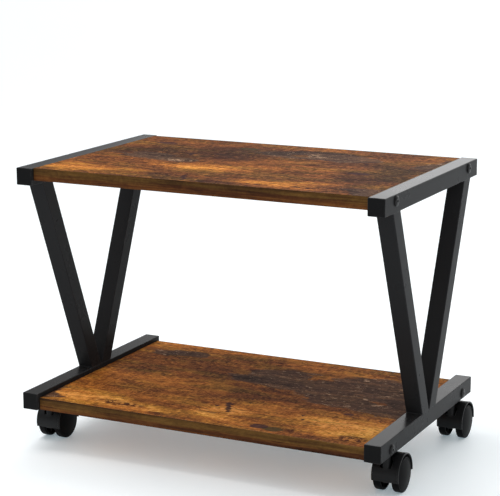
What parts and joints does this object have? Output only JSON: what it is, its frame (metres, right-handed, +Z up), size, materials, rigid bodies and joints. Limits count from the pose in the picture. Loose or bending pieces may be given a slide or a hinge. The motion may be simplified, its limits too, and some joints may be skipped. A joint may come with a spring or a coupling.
{
  "type": "mobile printer stand",
  "caption": "Two-tier rolling stand: two rectangular board shelves bolted between V-legged square-tube side frames, on swivelling twin-wheel casters.",
  "frame": {"origin": "on the floor, under the middle of the stand", "axes": "+X to the right along the shelves, +Y to the back, +Z up; the front is the long side at -Y, and at rest the casters trail towards +Y"},
  "size_m": [0.5882, 0.37, 0.424],
  "materials": {
    "frame_steel": "satin black powder coat with a very fine orange-peel texture",
    "shelf_laminate": "rustic brown printed laminate on particle board: orange-brown with dark worn patches and fine grain along the shelf",
    "edge_band": "matte printed edge banding, darker brown with long grain streaks",
    "end_cap_plastic": "fine-textured moulded black plastic",
    "bolt_steel": "black oxide, slightly worn at the hexagon socket",
    "insert_nut_steel": "zinc-plated steel",
    "stem_steel": "black zinc-plated steel",
    "caster_nylon": "satin moulded black nylon"
  },
  "bodies": {
    "frame": {"left_top_rail": "frame_steel", "left_bottom_rail": "frame_steel", "left_front_leg": "frame_steel", "left_top_front_end_cap": "end_cap_plastic", "left_bottom_front_end_cap": "end_cap_plastic", "left_rear_leg": "frame_steel", "left_top_rear_end_cap": "end_cap_plastic", "left_bottom_rear_end_cap": "end_cap_plastic", "right_top_rail": "frame_steel", "right_bottom_rail": "frame_steel", "right_front_leg": "frame_steel", "right_top_front_end_cap": "end_cap_plastic", "right_bottom_front_end_cap": "end_cap_plastic", "right_rear_leg": "frame_steel", "right_top_rear_end_cap": "end_cap_plastic", "right_bottom_rear_end_cap": "end_cap_plastic", "upper_shelf_board": "shelf_laminate", "upper_shelf_front_edge_band": "edge_band", "upper_left_front_bolt": "bolt_steel", "upper_left_front_insert_nut": "insert_nut_steel", "upper_right_front_bolt": "bolt_steel", "upper_right_front_insert_nut": "insert_nut_steel", "upper_shelf_rear_edge_band": "edge_band", "upper_left_rear_bolt": "bolt_steel", "upper_left_rear_insert_nut": "insert_nut_steel", "upper_right_rear_bolt": "bolt_steel", "upper_right_rear_insert_nut": "insert_nut_steel", "lower_shelf_board": "shelf_laminate", "lower_shelf_front_edge_band": "edge_band", "lower_left_front_bolt": "bolt_steel", "lower_left_front_insert_nut": "insert_nut_steel", "lower_right_front_bolt": "bolt_steel", "lower_right_front_insert_nut": "insert_nut_steel", "lower_shelf_rear_edge_band": "edge_band", "lower_left_rear_bolt": "bolt_steel", "lower_left_rear_insert_nut": "insert_nut_steel", "lower_right_rear_bolt": "bolt_steel", "lower_right_rear_insert_nut": "insert_nut_steel", "front_left_caster_stem": "stem_steel", "front_right_caster_stem": "stem_steel", "rear_left_caster_stem": "stem_steel", "rear_right_caster_stem": "stem_steel"},
    "front_left_caster": {"front_left_caster_housing": "caster_nylon", "front_left_caster_axle": "stem_steel"},
    "front_left_caster_inner_wheel": {"front_left_caster_inner_wheel": "caster_nylon"},
    "front_left_caster_outer_wheel": {"front_left_caster_outer_wheel": "caster_nylon"},
    "front_right_caster": {"front_right_caster_housing": "caster_nylon", "front_right_caster_axle": "stem_steel"},
    "front_right_caster_inner_wheel": {"front_right_caster_inner_wheel": "caster_nylon"},
    "front_right_caster_outer_wheel": {"front_right_caster_outer_wheel": "caster_nylon"},
    "rear_left_caster": {"rear_left_caster_housing": "caster_nylon", "rear_left_caster_axle": "stem_steel"},
    "rear_left_caster_inner_wheel": {"rear_left_caster_inner_wheel": "caster_nylon"},
    "rear_left_caster_outer_wheel": {"rear_left_caster_outer_wheel": "caster_nylon"},
    "rear_right_caster": {"rear_right_caster_housing": "caster_nylon", "rear_right_caster_axle": "stem_steel"},
    "rear_right_caster_inner_wheel": {"rear_right_caster_inner_wheel": "caster_nylon"},
    "rear_right_caster_outer_wheel": {"rear_right_caster_outer_wheel": "caster_nylon"}
  },
  "joints": [
    {"name": "front_left_caster_swivel", "type": "hinge", "parent": "frame", "child": "front_left_caster", "pos_m": [-0.2725, -0.132, 0.058], "axis": [0, 0, 1], "continuous": true},
    {"name": "front_left_caster_inner_wheel_spin", "type": "hinge", "parent": "front_left_caster", "child": "front_left_caster_inner_wheel", "pos_m": [-0.2725, -0.111, 0.025], "axis": [1, 0, 0], "continuous": true},
    {"name": "front_left_caster_outer_wheel_spin", "type": "hinge", "parent": "front_left_caster", "child": "front_left_caster_outer_wheel", "pos_m": [-0.2725, -0.111, 0.025], "axis": [1, 0, 0], "continuous": true},
    {"name": "front_right_caster_swivel", "type": "hinge", "parent": "frame", "child": "front_right_caster", "pos_m": [0.2725, -0.132, 0.058], "axis": [0, 0, 1], "continuous": true},
    {"name": "front_right_caster_inner_wheel_spin", "type": "hinge", "parent": "front_right_caster", "child": "front_right_caster_inner_wheel", "pos_m": [0.2725, -0.111, 0.025], "axis": [1, 0, 0], "continuous": true},
    {"name": "front_right_caster_outer_wheel_spin", "type": "hinge", "parent": "front_right_caster", "child": "front_right_caster_outer_wheel", "pos_m": [0.2725, -0.111, 0.025], "axis": [1, 0, 0], "continuous": true},
    {"name": "rear_left_caster_swivel", "type": "hinge", "parent": "frame", "child": "rear_left_caster", "pos_m": [-0.2725, 0.132, 0.058], "axis": [0, 0, 1], "continuous": true},
    {"name": "rear_left_caster_inner_wheel_spin", "type": "hinge", "parent": "rear_left_caster", "child": "rear_left_caster_inner_wheel", "pos_m": [-0.2725, 0.153, 0.025], "axis": [1, 0, 0], "continuous": true},
    {"name": "rear_left_caster_outer_wheel_spin", "type": "hinge", "parent": "rear_left_caster", "child": "rear_left_caster_outer_wheel", "pos_m": [-0.2725, 0.153, 0.025], "axis": [1, 0, 0], "continuous": true},
    {"name": "rear_right_caster_swivel", "type": "hinge", "parent": "frame", "child": "rear_right_caster", "pos_m": [0.2725, 0.132, 0.058], "axis": [0, 0, 1], "continuous": true},
    {"name": "rear_right_caster_inner_wheel_spin", "type": "hinge", "parent": "rear_right_caster", "child": "rear_right_caster_inner_wheel", "pos_m": [0.2725, 0.153, 0.025], "axis": [1, 0, 0], "continuous": true},
    {"name": "rear_right_caster_outer_wheel_spin", "type": "hinge", "parent": "rear_right_caster", "child": "rear_right_caster_outer_wheel", "pos_m": [0.2725, 0.153, 0.025], "axis": [1, 0, 0], "continuous": true}
  ]
}
